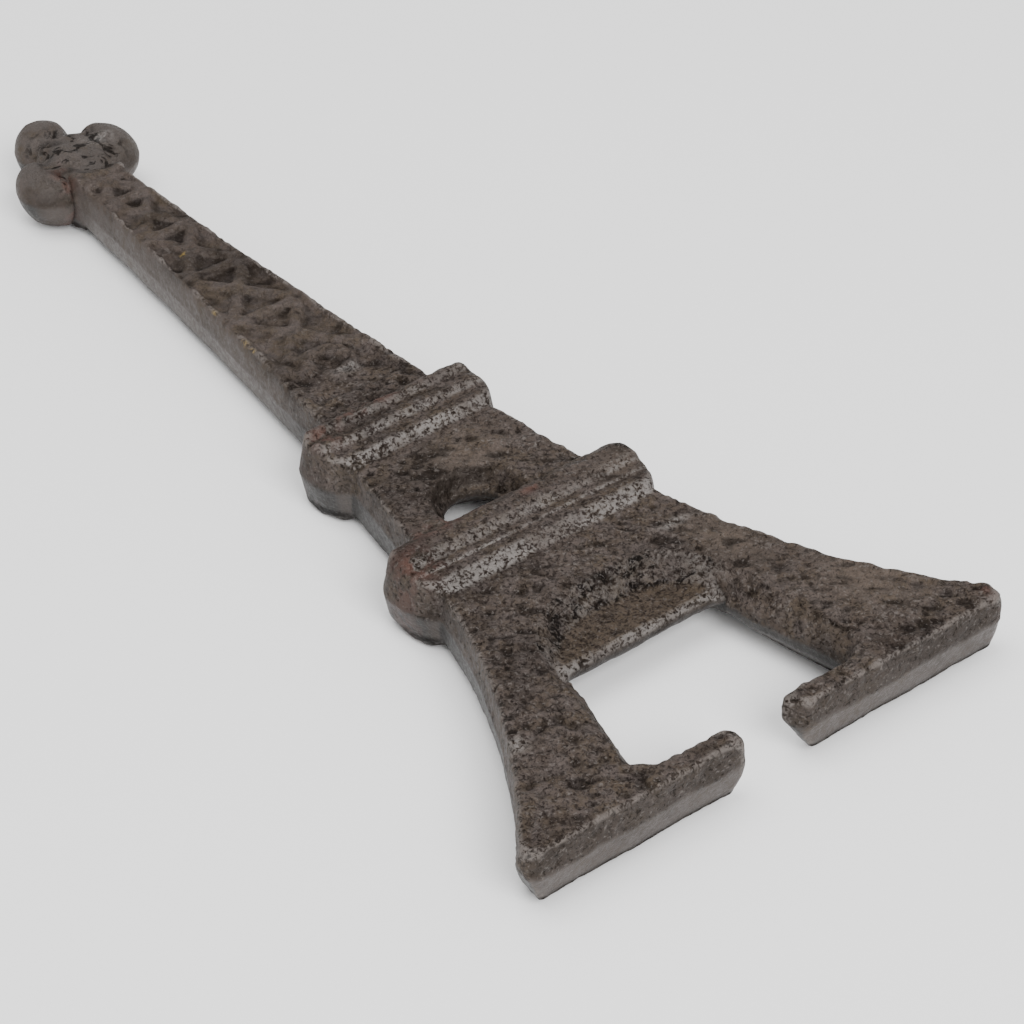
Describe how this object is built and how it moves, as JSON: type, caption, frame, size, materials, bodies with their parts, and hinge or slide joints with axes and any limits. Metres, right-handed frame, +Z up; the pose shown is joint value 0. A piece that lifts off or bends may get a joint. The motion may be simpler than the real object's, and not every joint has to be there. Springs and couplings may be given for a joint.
{
  "type": "souvenir bottle opener",
  "caption": "Flat cast-iron bottle opener in the outline of a lattice tower: splayed legs frame the cap mouth, platforms cross a ridged body, and a lobed finial ends the shaft.",
  "frame": {"origin": "on the ground under the middle of the overall box, with the opener lying on the ridges of its back face", "axes": "+X across the feet, to the right seen from above; +Y from the soles of the feet to the tip of the finial; +Z up through the thickness"},
  "size_m": [0.0684, 0.1528, 0.0101],
  "materials": {
    "iron": "as-cast iron, oiled dark brown with light rust and greyed high edges"
  },
  "bodies": {
    "root": {"left_foot": "iron", "right_foot": "iron", "left_leg": "iron", "right_leg": "iron", "arch_web": "iron", "lower_platform": "iron", "hanger_bay": "iron", "upper_platform": "iron", "shaft": "iron", "shaft_lattice": "iron", "finial_block": "iron", "finial_left_lobe": "iron", "finial_right_lobe": "iron", "finial_tip": "iron"}
  },
  "joints": []
}
